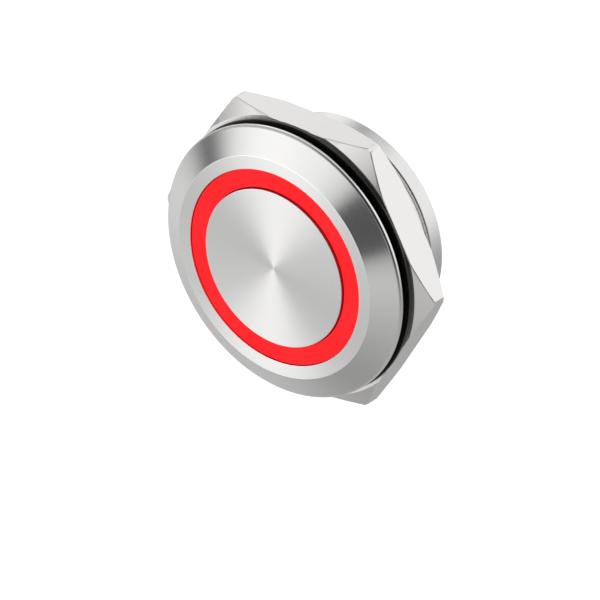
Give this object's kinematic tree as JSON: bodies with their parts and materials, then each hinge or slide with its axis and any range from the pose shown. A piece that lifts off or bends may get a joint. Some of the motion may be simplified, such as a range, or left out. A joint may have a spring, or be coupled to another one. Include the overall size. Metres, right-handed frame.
{
  "type": "push button",
  "caption": "Low-profile momentary push button with a lit ring around a round metal cap, a threaded barrel, a thin hexagon nut and rear terminals.",
  "frame": {"origin": "centre of the bezel's back face, which seats on the panel", "axes": "+Z along the button's axis, out of the panel towards the finger; X and Y across the terminals' rectangle, Y along its longer side"},
  "size_m": [0.022, 0.0254, 0.0126],
  "materials": {
    "turned_stainless": "turned and polished",
    "turned_stainless_cap": "turned in fine circles",
    "red_diffuser": "lit translucent",
    "clear_guide": "clear moulded",
    "black_rubber": "moulded",
    "white_acetal": "moulded",
    "spring_steel": "stamped",
    "plain_steel": "stamped",
    "nut_steel": "satin, machined",
    "black_nylon": "moulded",
    "silvered_contact": "silver plated",
    "board_laminate": "solder mask",
    "led_resin": "clear cast",
    "chip_ceramic": "glazed",
    "solder": "wetted",
    "gold_plated_brass": "plated",
    "black_resin": "poured"
  },
  "bodies": {
    "housing": {"housing": "turned_stainless", "light_ring": "red_diffuser", "light_guide": "clear_guide", "stem_seal": "black_rubber", "spacer_ring": "white_acetal", "panel_seal": "black_rubber", "switch_base": "black_nylon", "switch_cover": "spring_steel", "snap_dome": "silvered_contact", "switch_contacts": "silvered_contact", "circuit_board": "board_laminate", "leds": "led_resin", "resistors": "chip_ceramic", "solder_joints": "solder", "contact_pins": "gold_plated_brass", "lamp_pins": "gold_plated_brass", "terminal_base": "black_nylon", "potting": "black_resin"},
    "cap": {"press_cap": "turned_stainless_cap", "plunger": "white_acetal", "plunger_clip": "spring_steel"},
    "stem": {"switch_stem": "black_nylon"},
    "washer": {"washer": "plain_steel"},
    "nut": {"hex_nut": "nut_steel"}
  },
  "joints": [
    {"name": "cap_press", "type": "slide", "parent": "housing", "child": "cap", "axis": [0, 0, -1], "range_m": [0, 0.0003], "stiffness_N_per_m": 2500, "springref_m": -0.0006},
    {"name": "stem_press", "type": "slide", "parent": "housing", "child": "stem", "axis": [0, 0, -1], "range_m": [0, 0.0003], "deforming": ["snap_dome"]},
    {"name": "washer_travel", "type": "slide", "parent": "housing", "child": "washer", "axis": [0, 0, -1], "range_m": [0, 0.0045]},
    {"name": "nut_turn", "type": "hinge", "parent": "washer", "child": "nut", "pos_m": [0, 0, -0.00226], "axis": [0, 0, -1], "range_deg": [0, 1620]}
  ],
  "couplings": [
    {"joint": "stem_press", "follows": "cap_press", "ratio": 1},
    {"joint": "washer_travel", "follows": "nut_turn", "m_per_rad": 0.00015915}
  ]
}
